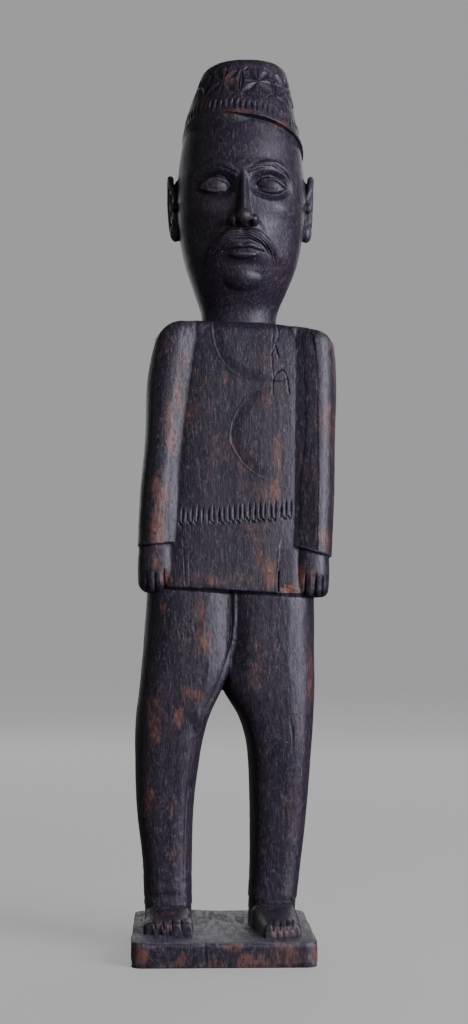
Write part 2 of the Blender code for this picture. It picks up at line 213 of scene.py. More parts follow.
def scatter(cells, seed):
    # a fixed number from -1 to 1 for each whole-numbered cell
    a = cells.astype(np.int64)
    mixed = (a[:, 0] * 73856093) ^ (a[:, 1] * 19349663) ^ (a[:, 2] * 83492791) ^ (seed * 40503)
    mixed = ((mixed ^ (mixed >> 13)) * 1274126177) & 0x7FFFFFFF
    return ((mixed ^ (mixed >> 15)) & 0xFFFF) / 32767.5 - 1


def softNoise(places, size, seed):
    scaled = places / np.array(size, float)
    cell = np.floor(scaled)
    part = scaled - cell
    part = part * part * (3 - 2 * part)
    total = np.zeros(len(places))
    for corner in itertools.product((0, 1), repeat=3):
        weight = np.prod(np.where(corner, part, 1 - part), axis=1)
        total += weight * scatter(cell + np.array(corner), seed)
    return total


def gougeMarks(places, size, seed):
    # shallow scoops that meet in ridges: 0 in a scoop, about 1 on a ridge
    scaled = places / np.array(size, float)
    cell = np.floor(scaled)
    nearest = np.full(len(places), 9.0)
    for corner in itertools.product((-1, 0, 1), repeat=3):
        at = cell + np.array(corner)
        spot = np.stack([at[:, k] + 0.5 + 0.42 * scatter(at, seed + 31 * k) for k in range(3)], axis=1)
        nearest = np.minimum(nearest, ((scaled - spot) ** 2).sum(axis=1))
    return np.minimum(nearest, 1.4)


def unit(values):
    return np.clip(values, 0.0, 1.0)


def smoothStep(values, low, high):
    t = unit((values - low) / (high - low))
    return t * t * (3 - 2 * t)


def stretchOf(values, low, high, soft):
    # 1 from low to high, with soft ends inside them
    return smoothStep(values, low, low + soft) * (1 - smoothStep(values, high - soft, high))


def dish(across, up, x, z, wide, high):
    # 1 in the middle of an oval, 0 from its edge outwards
    return unit(1 - ((across - x) / wide) ** 2 - ((up - z) / high) ** 2)


def alongPath(across, up, path):
    # for each place: its distance from a path, how far left of it, and how far along it
    several, length = len(across), 0.0
    nearest, offset, run = np.full(several, 1e9), np.zeros(several), np.zeros(several)
    for (x1, z1), (x2, z2) in zip(path, path[1:]):
        dx, dz = x2 - x1, z2 - z1
        span = math.hypot(dx, dz)
        share = unit(((across - x1) * dx + (up - z1) * dz) / (dx * dx + dz * dz))
        away = np.hypot(across - x1 - share * dx, up - z1 - share * dz)
        closer = away < nearest
        nearest = np.where(closer, away, nearest)
        offset = np.where(closer, ((up - z1) * dx - (across - x1) * dz) / span, offset)
        run = np.where(closer, length + share * span, run)
        length += span
    return nearest, offset, run


def grooveCut(across, up, path, width, depth):
    return depth * unit(1 - alongPath(across, up, path)[0] / (width / 2))


def crackCut(x, z, cracks, wander, soft, half):
    # drying cracks up the wood: place across, low end, high end and depth
    return sum(deep * stretchOf(z, low, high, soft) * unit(1 - np.abs(x - at - wander) / half)
               for at, low, high, deep in cracks)


def leafCut(across, up, x, z, lean, length, width, depth):
    # a knife's chip: pointed at both ends, deepest along its middle
    c, s = math.cos(lean), math.sin(lean)
    along = ((across - x) * s + (up - z) * c) / (length / 2)
    aside = np.abs((across - x) * c - (up - z) * s) / (width / 2)
    room = unit(1 - along * along)
    return depth * room * unit(1 - aside / np.maximum(room, 1e-4))


def edgeCut(across, up, path, steep, wide, depth):
    # the cut under a raised lip: a steep wall on the path's right, a long slope on its left
    nearest, offset = alongPath(across, up, path)[:2]
    lip = 0.3 * unit(1 - np.abs(nearest - steep - 0.4) / 0.7)
    wall, slope = depth * unit(1 - nearest / steep) - lip, depth * unit(1 - nearest / wide) ** 1.3
    return np.where(offset < 0, wall, slope)


def refine(piece, inside):
    # splits the faces of a region in four, where the finest cuts go
    form = bmesh.new()
    form.from_mesh(piece.data)
    chosen = {edge for face in form.faces if inside(face.calc_center_median()) for edge in face.edges}
    bmesh.ops.subdivide_edges(form, edges=list(chosen), cuts=1, use_grid_fill=True, smooth=0.0)
    form.to_mesh(piece.data)
    form.free()


def valuesOf(items, name, width, kind):
    values = np.empty(len(items) * width, kind)
    items.foreach_get(name, values)
    return values.reshape(-1, width)


def normalsOf(mesh):
    return valuesOf(mesh.vertex_normals, "vector", 3, np.float32).astype(float)


def evenedPlaces(mesh, places, rounds):
    # each place drawn again and again towards the mean of its neighbours
    first, second = valuesOf(mesh.edges, "vertices", 2, np.int32).T

    def gathered(at, values):
        return np.bincount(at, weights=values, minlength=len(places))

    neighbours = (gathered(first, None) + gathered(second, None))[:, None]
    for _ in range(rounds):
        near = np.stack([
            gathered(first, column[second]) + gathered(second, column[first]) for column in places.T], axis=1)
        places = 0.4 * places + 0.6 * near / neighbours
    return places


def toolMarks(places, broad, fine, seed):
    # long knife facets over small ones, with soft dents
    marks = broad * (gougeMarks(places, (8, 8, 30), seed) - 0.45)
    marks += fine * (gougeMarks(places, (2.8, 2.8, 11), seed + 5) - 0.45)
    marks += 0.4 * fine * softNoise(places, (1.0, 1.0, 2.2), seed + 7)
    return marks + 1.5 * broad * softNoise(places, (20, 20, 38), seed + 9)


def carve(piece, relief):
    # moves each point in or out, then notes how proud, hollow or rubbed bare its place is
    mesh = piece.data
    places, normals = valuesOf(mesh.vertices, "co", 3, float), normalsOf(mesh)
    places += normals * relief(places, normals)[:, None]
    mesh.vertices.foreach_set("co", places.ravel())
    mesh.update()
    normals = normalsOf(mesh)
    rounds = 24
    near = evenedPlaces(mesh, places, rounds)
    far = evenedPlaces(mesh, near, rounds * 2)
    proud = ((places - near) * normals).sum(axis=1)
    broadProud = ((places - far) * normals).sum(axis=1)
    # edge later lightens the wood's colour, partly as wear and partly as painted highlight; pit later darkens it as
    # painted shade
    noteValues(mesh, "edge", unit(proud / 0.16) * 0.6 + unit((broadProud - 0.25) / 0.9) * 0.7)
    noteValues(mesh, "pit", unit(-proud / 0.14) * 0.7 + unit((-broadProud - 0.2) / 0.8) * 0.6)
    noteValues(mesh, "bare", rubbedBare(places) / 1.5)
    level, height = smoothStep(normals[:, 2], 0.3, 0.8), places[:, 2]
    noteValues(mesh, "dusty", level * (1 - 0.75 * smoothStep(height, 1, 4)) * (height < carving["dustTop"]))


def noteValues(mesh, name, values):
    mesh.attributes.new(name, "FLOAT", "POINT").data.foreach_set("value", unit(values).astype(np.float32))


def finishPiece(piece, material, most=None):
    # thins the dense skin where it is plain, and sets the piece in the frame
    most = most or carving["mostTriangles"]
    triangles = sum(len(p.vertices) - 2 for p in piece.data.polygons)
    if triangles > most:
        thin = piece.modifiers.new("thin", "DECIMATE")
        thin.ratio = most / triangles
        settle(piece)
    piece.data.transform(figurePlace)
    piece.data.shade_smooth()
    piece.data.materials.clear()
    piece.data.materials.append(material)
    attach(piece, "root")
    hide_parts("ancestor_figure")
    print(piece.name, "finished:", len(piece.data.polygons), "faces")


# where the patina is rubbed down to red wood: x, y, z, reach across, through and up, strength
rubbedPlaces = [
    # left sleeve and hand
    (-22.8, -26, 347, 3.2, 9, 9, 0.7), (-27.6, -26, 326, 4, 9, 15, 0.8), (-32, -27, 306, 4.6, 9, 17, 1),
    (-38.6, -28, 263, 4.6, 9, 15, 0.9), (-39.4, -29, 243, 5.4, 9, 12, 1.1), (-33, -22, 350, 8, 12, 9, 0.45),
    (-34.4, -29, 213, 3.2, 8, 8, 1), (-41, -28, 221, 2.2, 8, 6, 0.6),
    # right sleeve and hand
    (65, -20, 303, 4.4, 12, 18, 0.75), (57, -27, 311, 4.5, 9, 12, 0.5), (61.4, -26, 236, 5, 10, 8, 0.8),
    (52, -28, 262, 5, 9, 26, 0.45), (67, -14, 345, 4, 12, 20, 0.5), (60, -10, 367, 10, 14, 5, 0.4),
    (68, -14, 262, 3, 12, 22, 0.5), (48, -29, 212, 2.6, 8, 8, 1.05), (53.5, -29, 210, 2.6, 8, 8, 0.5),
    # chest, sash and hem
    (26.4, -26, 347.5, 5.5, 7, 7, 0.5), (25.6, -27, 320, 5.5, 7, 10, 0.5), (33.4, -27, 287.5, 2.6, 7, 12, 0.9),
    (24.4, -28, 267, 6, 7, 8, 0.6), (31.7, -28, 266, 3.6, 7, 8, 1.15), (21, -28, 243, 8, 7, 2.4, 0.9),
    (20.8, -29, 231, 3, 7, 12, 0.8), (1.4, -27, 335, 1.2, 6, 5, 0.8), (-14, -27, 320, 9, 7, 22, 0.38),
    (-4, -31, 212, 22, 7, 3.6, 0.62), (-4, -31, 210.5, 7, 7, 3, 0.9), (28.3, -30, 216, 4.2, 7, 11, 1.2),
    (39.8, -29, 205.8, 4.6, 7, 3.4, 1.6), (5, -29, 285, 14, 6, 24, 0.3),
    # thighs and legs
    (-36.2, -26, 194.7, 3, 8, 4.4, 0.95), (-12.8, -29, 188, 2.4, 7, 9, 0.85), (-12.2, -29, 175, 5.4, 7, 9, 1.15),
    (-15.6, -28, 141, 4.2, 7, 5, 0.95), (-23.4, -28, 142, 3.4, 7, 5, 0.75), (-26, -27, 129, 3, 7, 7, 0.8),
    (-42, -22, 136, 8, 9, 13, 0.62), (-39.8, -24, 122, 5.4, 9, 12, 0.8), (-16.8, -26, 131, 2, 7, 7, 0.5),
    (-22, -29, 181, 9, 6, 11, 0.5), (21, -29, 180, 4.5, 7, 30, 0.5), (20.6, -29, 166, 3.4, 7, 24, 0.6),
    (53.4, -20, 157, 3.2, 12, 26, 0.65), (47.5, -24, 119, 3.6, 9, 16, 0.5), (-45, -18, 78, 4, 10, 22, 0.5),
    (-30, -21, 62, 5, 7, 20, 0.35), (40, -22, 70, 5, 7, 26, 0.35), (-35, -40, 5, 14, 8, 3, 0.4),
    (35, -50, 3.4, 11, 8, 3.4, 0.75), (-30, -22, 10, 14, 8, 5, 0.4),
    # plinth
    (5.2, -67, -2.4, 5, 5, 3.4, 1.1), (16.5, -68, -11, 10, 5, 5, 0.95), (36, -68, -8, 14, 5, 8, 0.75),
    (53.4, -62, -7, 3, 10, 8, 1.2), (-50, -66, -7, 5, 8, 6, 0.95), (-24.6, -68, -10, 4, 5, 4.5, 0.95),
    (-10, -68.5, -13, 30, 5, 2.4, 0.5), (54.4, -10, -6, 3, 26, 7, 0.7), (-54.4, 6, -6, 3, 30, 6, 0.7),
    (0, 56.5, -8, 40, 4, 6, 0.8), (-30, 56, -4, 9, 5, 5, 1.1), (30, 20, 0, 20, 20, 2, 0.3),
    # cap
    (3.8, -33, 521, 3.4, 8, 7, 0.8), (-12.4, -30, 508, 3.6, 8, 11, 0.62), (33, -24, 490.5, 9, 10, 3, 1.1),
    (6, -40, 497.5, 14, 8, 1.8, 0.8), (14, 5, 535, 22, 24, 2.4, 0.45), (12, -50, 431, 4, 4, 4, 0.45),
    (12, 44, 483, 24, 9, 4, 0.7), (44, 12, 500, 8, 12, 10, 0.5), (-16, 10, 505, 8, 12, 10, 0.5),
    # back and sides
    (0, 31, 209, 30, 7, 4, 0.75), (-36, 27, 252, 5, 9, 40, 0.6), (52, 26, 300, 5, 9, 44, 0.6),
    (-26, 28, 132, 7, 9, 22, 0.75), (30, 28, 158, 8, 9, 24, 0.8), (6, 29, 334, 16, 6, 16, 0.5),
    (-52, -6, 280, 4, 12, 44, 0.55), (70, -4, 300, 4, 12, 44, 0.55), (-36, 17, 60, 7, 9, 24, 0.6),
    (34, 17, 50, 7, 9, 20, 0.6), (10, 42, 452, 24, 8, 14, 0.45), (-20, 24, 368, 16, 10, 5, 0.6),
    (44, 22, 366, 14, 10, 5, 0.6), (-33, 27, 6, 10, 6, 6, 0.6), (30, 27, 6, 9, 6, 6, 0.6),
]


def rubbedBare(places):
    total = np.zeros(len(places))
    for x, y, z, across, through, up, strength in rubbedPlaces:
        away = (((places - (x, y, z)) / (across * 1.35, through * 1.5, up * 1.35)) ** 2).sum(axis=1)
        total = np.maximum(total, strength * unit(1 - away) ** 0.8)
    return total


class Wire:
    # one output of a shader node, so that maths on values is written as maths
    def __init__(self, finish, socket):
        self.finish, self.socket = finish, socket

    def maths(self, operation, first, second):
        return self.finish.node("ShaderNodeMath", {"operation": operation}, {0: first, 1: second})

    def __add__(self, other):
        return self.maths("ADD", self, other)

    def __sub__(self, other):
        return self.maths("SUBTRACT", self, other)

    def __mul__(self, other):
        return self.maths("MULTIPLY", self, other)

    def __rsub__(self, other):
        return self.maths("SUBTRACT", other, self)

    __radd__ = __add__

    def between(self, low, high):
        # 0 below low, 1 above high, smooth between them
        settings = {"interpolation_type": "SMOOTHSTEP"}
        return self.finish.node("ShaderNodeMapRange", settings, {0: self, 1: low, 2: high})


class Finish:
    def __init__(self, name):
        self.material = bpy.data.materials.new(name)
        self.material.use_nodes = True
        self.tree = self.material.node_tree
        self.tree.nodes.clear()

    def node(self, kind, settings=None, values=None, output=0):
        made = self.tree.nodes.new(kind)
        for key, value in (settings or {}).items():
            setattr(made, key, value)
        for key, value in (values or {}).items():
            if isinstance(value, Wire):
                self.tree.links.new(value.socket, made.inputs[key])
            else:
                made.inputs[key].default_value = value
        return Wire(self, made.outputs[output])

    def blended(self, factor, first, second):
        return self.node("ShaderNodeMix", {"data_type": "RGBA"}, {0: factor, 6: first, 7: second}, 2)

    def noise(self, coordinates, scale, detail=4.0, rough=0.55, stretch=1.0, turned=0.0):
        # stretch above 1 draws the pattern out along the trunk
        drawn = self.node("ShaderNodeMapping", None, {
            "Vector": coordinates, "Scale": (1, 1, 1 / stretch), "Rotation": (turned, turned * 0.6, 0)})
        return self.node("ShaderNodeTexNoise", None, {
            "Vector": drawn, "Scale": scale, "Detail": detail, "Roughness": rough})


woodLook = {
    "patina": (0.0158, 0.0118, 0.0215, 1), "plum": (0.0310, 0.0170, 0.0280, 1), "umber": (0.0480, 0.0245, 0.0260, 1),
    # the dust grey is also laid on proud edges, partly as wear and partly as painted highlight
    "rubbed": (0.130, 0.050, 0.038, 1), "raw": (0.36, 0.130, 0.066, 1), "dust": (0.122, 0.117, 0.146, 1),
    # the darkest colour paints shade into hollows, creases and undercuts, and also darkens the grain's pores
    "paintedShadeAndDarkGrain": (0.0045, 0.0036, 0.0066, 1), "roughness": 0.43, "grainDepth": 0.00034,
}


def makeWood():
    look = woodLook
    wood = Finish("polished dark wood")
    where = wood.node("ShaderNodeTexCoord", output=3)
    edge, pit, bare, dusty = (wood.node("ShaderNodeAttribute", {"attribute_name": name}, output=2)
                              for name in ("edge", "pit", "bare", "dusty"))
    fibre = wood.noise(where, 900, 4, 0.7, 4.5, 0.02)      # hair-fine grain
    streak = wood.noise(where, 250, 5, 0.66, 7, 0.03)      # bands of the growth rings
    blotch = wood.noise(where, 40, 5, 0.62, 1.7)           # hand-rubbed clouds
    patchy = wood.noise(where, 105, 4, 0.62, 1.9, 0.2)
    speck = wood.noise(where, 1050, 3, 0.7, 1.3)
    pores = wood.noise(where, 1400, 2, 0.5, 6).between(0.60, 0.68)
    ragged = wood.noise(where, 250, 7, 0.8, 1.9, 0.3)

    clouds = streak * 0.45 + blotch * 0.6 + patchy * 0.35 + (fibre - 0.5) * 1.2
    rubbing = bare * 1.75 + edge * 0.10 + (ragged - 0.5) * 2.8 + (patchy - 0.5) * 2.2 + (fibre - 0.5) * 1.5
    chips = bare * 1.5 + (ragged - 0.5) * 3.0 + (speck - 0.5) * 0.9
    # proud edges are lighter: partly worn edges, partly painted highlight where the edges catch the light
    wornEdgeAndPaintedHighlight = (edge * 0.75 + (ragged - 0.5) * 1.6).between(0.30, 0.95)
    dust = (speck * 0.9 + ragged * 0.7 + (fibre - 0.5) * 1.2).between(0.86, 1.08)
    swept = wood.noise(wood.node("ShaderNodeMapping", None, {"Vector": where, "Scale": (1, 0.12, 1)}), 330, 5, 0.7)
    settled = (swept * 1.8 + ragged * 1.2 + (speck - 0.5) * 1.2).between(1.25, 1.95)
    # the dark from pit in hollows, creases and undercuts is painted shade; pores, fibre and speck are the grain's own
    # dark
    dark = pit * 0.8 + pores * 0.55 + (0.5 - fibre) * 3.6 + (0.5 - speck) * 2.2
    # the coats of colour, from the lowest up
    coats = (
        (clouds.between(0.58, 0.84), "plum"), (rubbing.between(0.20, 0.74) * 0.9, "umber"),
        (rubbing.between(0.58, 1.22) * 0.92, "rubbed"), (chips.between(1.12, 1.75) * 0.85, "raw"),
        (wornEdgeAndPaintedHighlight * 0.36, "dust"), (dust * 0.42, "dust"), (dusty * settled * 0.9, "dust"),
        (dark.between(0.02, 0.95) * 0.85, "paintedShadeAndDarkGrain"))
    colour = look["patina"]
    for amount, shade in coats:
        colour = wood.blended(amount, colour, look[shade])

    shine = look["roughness"] + (blotch - 0.5) * 0.26 + (ragged - 0.5) * 0.3 + pit * 0.2 + bare * 0.08
    shine = shine + dusty * settled * 0.45
    grain = fibre * 0.45 + streak * 0.3 + ragged * 0.6 + speck * 0.3 - pores * 0.25
    bumped = wood.node("ShaderNodeBump", None, {"Strength": 0.85, "Distance": look["grainDepth"], "Height": grain})
    closeFinish(wood, wood.node("ShaderNodeBsdfPrincipled", None, {
        "Base Color": colour, "Roughness": shine, "Normal": bumped, "IOR": 1.48}))
    return wood.material


def closeFinish(finish, shader):
    ending = finish.tree.nodes.new("ShaderNodeOutputMaterial")
    finish.tree.links.new(shader.socket, ending.inputs["Surface"])


head = {
    "stations": [
        (358, 11, 3, 23.5, 22), (378, 11, 2.5, 24, 23.5), (392, 11.5, 0.5, 29, 29.5), (410, 12, -1, 35.5, 36),
        (432, 12, -0.5, 39.5, 40.5), (455, 12, 0, 40.3, 42), (478, 12, 1, 38.2, 40.5), (500, 12.3, 2, 34, 36),
        (522, 12.5, 3, 26, 27)],
    "squareness": 2.3, "middle": 12, "brow": 461, "voxel": 0.46,
}
cap = {
    # the last two values tilt a ring down towards the back and to +X
    "stations": [
        (483.5, 13.3, 2, 38.5, 41.6, 0.32, 0.15), (499, 12.8, 3, 35.2, 38.2, 0.23, 0.09),
        (515, 13.6, 4, 31.4, 33.5, 0.12, 0.04), (529, 14.3, 5, 27.6, 29, 0.05, 0),
        (536, 15.4, 5, 25.4, 27, 0.03, 0)],
    "squareness": 2.3, "rim": 483.5, "top": 535.5, "filletHeight": 11, "filletHidden": 7,
    "rosettes": 10, "firstRosette": 13, "rosetteHeight": 516.2, "rosetteRadius": 34.2,
    "rimStrokes": 72, "strokeHeight": 492.6, "strokeRadius": 37.5,
    # reach from the rosette's middle, then each cut's length, width and depth
    "petal": (6.9, 12, 5.2, 1.35), "ray": (6.3, 10.8, 1.9, 0.8), "stroke": (7.8, 2.3, 1),
}


def headFront(x, z):
    return frontOf(head["stations"], head["squareness"], x, z)


def faceForm(u, z):
    # how far the broad forms of the face stand out from the plain head
    a = abs(u)

    def swell(across, up, wide, high, size):
        return size * math.exp(-((a - across) / wide) ** 2 - ((z - up) / high) ** 2)

    out = swell(0, 476, 24, 10, 0.8) + swell(18, 463, 13, 4.0, 1.6) + swell(0, 462, 7, 5, 1.3)
    hollow = 1 - ((a - 16.8) / 14.2) ** 2 - ((z - 451.5) / 9.2) ** 2
    if hollow > 0:
        out -= 5.6 * hollow ** 1.15
    out -= swell(8.2, 452.5, 3.2, 5.0, 1.6) + swell(36, 468, 7, 9, 1.4)
    out += swell(25, 438, 9, 5.5, 2.0) - swell(25, 419, 8, 9, 1.7) + swell(0, 413.5, 15, 9.5, 3.2)
    out += swell(0, 397.5, 11, 5, 1.6) - swell(0, 404, 9, 2.2, 1.1)
    return out


def tuneHead(co):
    if co.y < 0 and co.z > 386:
        share = min(1.0, -co.y / 16)
        co.y -= faceForm(co.x - head["middle"], co.z) * share * share * (3 - 2 * share)
    return co


def capPlace(angle, height, inset=0.0):
    x, y, halfWidth, halfDepth, tiltBack, tiltSide = alongStations(cap["stations"], height)
    a, b = onOutline(math.sin(angle), -math.cos(angle), halfWidth - inset, halfDepth - inset, cap["squareness"])
    return Vector((x + a, y + b, height - tiltBack * (y + b) - tiltSide * a))


def makeCapForm():
    places = ringPlaces(cap["rim"], cap["top"], 44, 0.5, 6.0)
    form = ringedCylinder(180, len(places))
    for vert in form.verts:
        height, inset = places[round((vert.co.z + 1) / 2 * (len(places) - 1))]
        vert.co = capPlace(math.atan2(vert.co.x, -vert.co.y), height, inset)
    return form


def makeBrimFillet():
    # towards -X the forehead comes out to meet the brim
    form = ringedCylinder(120, 8)
    for vert in form.verts:
        angle = math.atan2(vert.co.x, -vert.co.y)
        down = cap["filletHeight"] * (1 - vert.co.z) / 2
        hidden = smoothStep(angle, -0.7, 1.0) + smoothStep(-angle, 1.7, 2.4)
        inset = 0.5 + 0.02 * down**2 + cap["filletHidden"] * hidden
        vert.co = capPlace(angle, cap["rim"], inset) + Vector((0, 0, 0.6 - down))
    return form


def makeEye(side):
    # the ball of the eye, almond-shaped between two soft lids
    wide, deep, high = 9.0, 5.4, 5.8
    x, z = head["middle"] + side * 16.5, head["brow"] - 9
    y = headFront(x, z) + 6.2
    forms = [makeBall((x, y, z), (wide, deep, high))]

    def onBall(across, up, lift):
        left = max(1 - (across / wide) ** 2 - (up / high) ** 2, 0.03)
        return (x + side * across, y - deep * math.sqrt(left) - lift, z + up)

    upper = [(-8.9, -1.4, 0.8), (-6, 1.9, 1.15), (-1.5, 3.6, 1.35), (3.5, 3.1, 1.35), (7.6, 0.7, 1.1), (10, -1.2, 0.7)]
    lower = [(-8.9, -1.5, 0.7), (-5.0, -3.0, 0.8), (0, -3.9, 0.9), (4.8, -3.2, 0.85), (9.2, -1.4, 0.7)]
    for lid, lift in ((upper, 0.25), (lower, 0.0)):
        forms.append(makeRod([(*onBall(across, up, lift), radius) for across, up, radius in lid]))
    return forms


def makeNose():
    # up the ridge: height, half width and how far it stands out
    ridge = [(464, 3.6, 0.6), (456, 3.3, 2.2), (449, 3.5, 4.3), (438.5, 4.5, 8.0), (431, 5.6, 10.4), (425.4, 5.2, 9.2)]
    middle = head["middle"]
    front = headFront(middle, 430)
    rows = [(z, middle, headFront(middle, z) + 6, half, proud + 6) for z, half, proud in ridge]
    forms = [makeDrum(rows, ringPlaces(425.4, 464, 30, 2.4, 0), 2.2, 48)]
    forms.append(makeBall((middle, front - 7.2, 430.6), (5.3, 5.0, 4.6)))
    for side in (-1, 1):
        forms.append(makeBall((middle + side * 6.3, front - 3.2, 429.2), (3.5, 5.6, 3.7)))
    return forms


def makeEar(side):
    x = head["middle"] + side * 39.5
    forms = [makeBall((x, 4.5, 446.5), (4.6, 8.6, 18.5)), makeBall((x + side * 1.6, 1.5, 430.5), (3.8, 4.6, 6.0))]
    rim = [(2.0, -3.5, 451, 1.5), (4.2, -2.0, 459, 2.0), (4.9, 3.5, 465.2, 2.2), (5.0, 10.5, 461, 2.2),
           (5, 13.2, 450, 2.1), (4.4, 10.6, 438, 1.9), (3.2, 5, 429, 2)]
    fold = [(3.8, 1, 458, 1.2), (4.2, 6.6, 456, 1.5), (4.2, 8.4, 448, 1.4), (3.6, 5.6, 439, 1.3), (3.2, 0.5, 437, 1.3)]
    for path in (rim, fold):
        forms.append(makeRod([(x + side * out, y, z, r) for out, y, z, r in path], facing=(1, 0, 0)))
    forms.append(makeBall((x + side * 3.0, -3.6, 445.5), (2.4, 2.2, 3.4)))
    return forms


# from the middle outwards: across, up and radius
face = {
    "brow": [(4, 460, 1.5), (10, 463.4, 2.2), (18, 464.8, 2.4), (26, 461.6, 2), (31.5, 455.5, 0.9)],
    "moustache": [
        (0.6, 421, 2.9), (5, 421.4, 3.6), (10, 419.6, 3.7), (15, 416.2, 3.1), (19, 411.6, 2.2), (21.4, 406.4, 0.9)],
    "lip": [(0, 413.9, 1.5), (4, 414.6, 1.7), (8, 413.7, 1.3), (11.5, 412.4, 0.7)],
}


def makeFace():
    middle, forms = head["middle"], makeNose()
    forms.append(makeBall((middle, headFront(middle, 398) + 8.2, 398), (15, 11, 10)))
    forms.append(makeBall((middle, headFront(middle, 409.4) - 1.4, 409.2), (8.8, 3.2, 2.6)))
    for side in (-1, 1):
        forms += makeEye(side) + makeEar(side)
        for name, share, sunk, steps in (("brow", 0.5, 0.5, 30), ("moustache", 0.8, 0.7, 44), ("lip", 0.85, -0.1, 30)):
            rod = []
            for u, z, radius in face[name]:
                x = middle + side * u
                rod.append((x, headFront(x, z) - faceForm(u, z) * share + sunk, z, radius))
            forms.append(makeRod(rod, steps=steps))
    return forms


def capPattern(x, y, z):
    # the depth of the chip-cut bands at each place of the cap, and its ring height
    height = z.copy()
    for _ in range(7):
        centreX, centreY, halfWidth, halfDepth, tiltBack, tiltSide = manyAlong(cap["stations"], height)
        height = z + tiltBack * y + tiltSide * (x - centreX)
    angle = np.arctan2(x - centreX, -(y - centreY))
    radius = (halfWidth + halfDepth) / 2
    rng = np.random.default_rng(11)
    pitch = 2 * math.pi / cap["rosettes"]
    turned = angle - math.radians(cap["firstRosette"])
    number = np.round(turned / pitch).astype(int) % cap["rosettes"]
    aside = turned - np.round(turned / pitch) * pitch
    jitter = rng.uniform(-1, 1, (cap["rosettes"], 5))[number]

    def riseOver(ring):
        # true height over a ring of the cap, at each place's angle
        tilts = alongStations(cap["stations"], ring)
        return z - (ring - tilts[4] * y - tilts[5] * (x - tilts[0]))

    rise, strokeRise = riseOver(cap["rosetteHeight"]), riseOver(cap["strokeHeight"])
    across = aside * cap["rosetteRadius"] + 0.35 * jitter[:, 0]
    up = rise + 0.35 * jitter[:, 1]
    lean = 0.05 * jitter[:, 2]
    across, up = across * np.cos(lean) + up * np.sin(lean), up * np.cos(lean) - across * np.sin(lean)
    cut, around = np.zeros(len(x)), np.zeros(len(x))
    for k in range(8):
        direction = k * math.pi / 4
        reach, length, wide, deep = cap["petal"] if k % 2 else cap["ray"]
        middle = (reach * math.sin(direction), reach * math.cos(direction))
        cut = np.maximum(cut, leafCut(across, up, *middle, direction, length, wide, deep))
        around = np.maximum(around, leafCut(across, up, *middle, direction, length + 2, wide + 2, 1))
    # the knife leaves a small burr round each petal
    cut -= 1.1 * np.clip(around, 0, 0.22) * (cut < 0.02)
    # upright lens cuts between the rosettes
    beside = (np.abs(aside) - pitch / 2) * cap["rosetteRadius"]
    cut = np.maximum(cut, leafCut(beside - 0.012 * rise**2, rise, -1.0, 0, 0, 20, 2.6, 1.3))
    for level in (-1, 1):
        cut = np.maximum(cut, leafCut(np.abs(beside), rise, 3.2, level * 9.0, level * 0.8, 6.0, 2.2, 0.8))
    # the row of short strokes over the plain rim
    strokePitch = 2 * math.pi / cap["rimStrokes"]
    strokeNumber = np.round(angle / strokePitch).astype(int) % cap["rimStrokes"]
    wobble = rng.uniform(-1, 1, (cap["rimStrokes"], 3))[strokeNumber]
    strokeAcross = (angle - np.round(angle / strokePitch) * strokePitch) * cap["strokeRadius"] + 0.35 * wobble[:, 0]
    stroke = leafCut(strokeAcross, strokeRise, 0, 0.5 * wobble[:, 2], 0.06, *cap["stroke"])
    return np.maximum(cut, stroke * (1 + 0.3 * wobble[:, 1])), height


def hairCut(u, z, path, halfWidth, pitch, depth):
    # fine grooves that follow a path, as carved hair
    nearest, offset, run = alongPath(u, z, [(a, b) for a, b, radius in path])
    lines = 0.5 + 0.5 * np.cos((offset + 0.10 * run) * 2 * math.pi / pitch)
    return depth * lines**2 * smoothStep(halfWidth - nearest, 0, 1.2)


def headRelief(places, normals):
    x, y, z = places.T
    u = np.abs(x - head["middle"])
    pattern, height = capPattern(x, y, z)
    onCap = smoothStep(height, cap["rim"] + 0.2, cap["rim"] + 1.2) * (z > 470)
    onTop = smoothStep(normals[:, 2], 0.72, 0.9)
    facing = smoothStep(-normals[:, 1], 0.05, 0.35) * (y < -10) * (1 - onCap)
    cut = pattern * onCap * (1 - onTop)
    nasal = [(9.2, 428), (13.5, 421.5), (18.0, 414.5), (20.5, 408)]
    mouth = [(-1, 412.0), (4, 412.3), (8, 411.9), (12.4, 411.2)]
    lidFold = [(7.6, 452.5), (11.5, 457.2), (16.5, 458.6), (22, 457.0), (26.5, 452.8)]
    lines = grooveCut(u, z, mouth, 1.7, 1.0) + grooveCut(u, z, nasal, 4.0, 0.45) + grooveCut(u, z, lidFold, 1.5, 0.45)
    lines += hairCut(u, z, face["moustache"], 4.2, 1.55, 0.42)
    lines += hairCut(u, z, [(3.5, 460, 1.5)] + face["brow"][1:], 2.6, 1.5, 0.26)
    cut += lines * facing
    # nostrils, on the underside of the nose
    under = smoothStep(-normals[:, 2], 0.2, 0.7) * (z > 420) * (z < 432)
    cut += 1.7 * under * dish(u, y, 3.6, headFront(head["middle"], 427) - 6.2, 2.0, 3.2)
    # a hollow in each ear, and the line where it meets the head
    beside = smoothStep(np.abs(normals[:, 0]), 0.3, 0.7) * (u > 36)
    cut += 2.2 * beside * dish(y, z, 3.5, 447.5, 3.6, 7.5)
    marks = toolMarks(places, 0.20, 0.10, 3)
    marks *= 1 - 0.65 * smoothStep(cut, 0.05, 0.4)
    marks *= 1 - 0.55 * facing * (z > 400) - 0.5 * onCap * (1 - onTop)
    # under the brim the forehead is cut back a little
    rim = cap["rim"]
    cut += 0.35 * (1 - onCap) * smoothStep(height, rim - 1.6, rim - 0.4) * (z > 455) * smoothStep(x, 4, 20)
    # towards -X the brim runs out flush with the forehead
    cut += 1.2 * onCap * (1 - smoothStep(height, rim + 0.3, rim + 9)) * (1 - smoothStep(x, 2, 24)) * (y < 0)
    return marks - cut


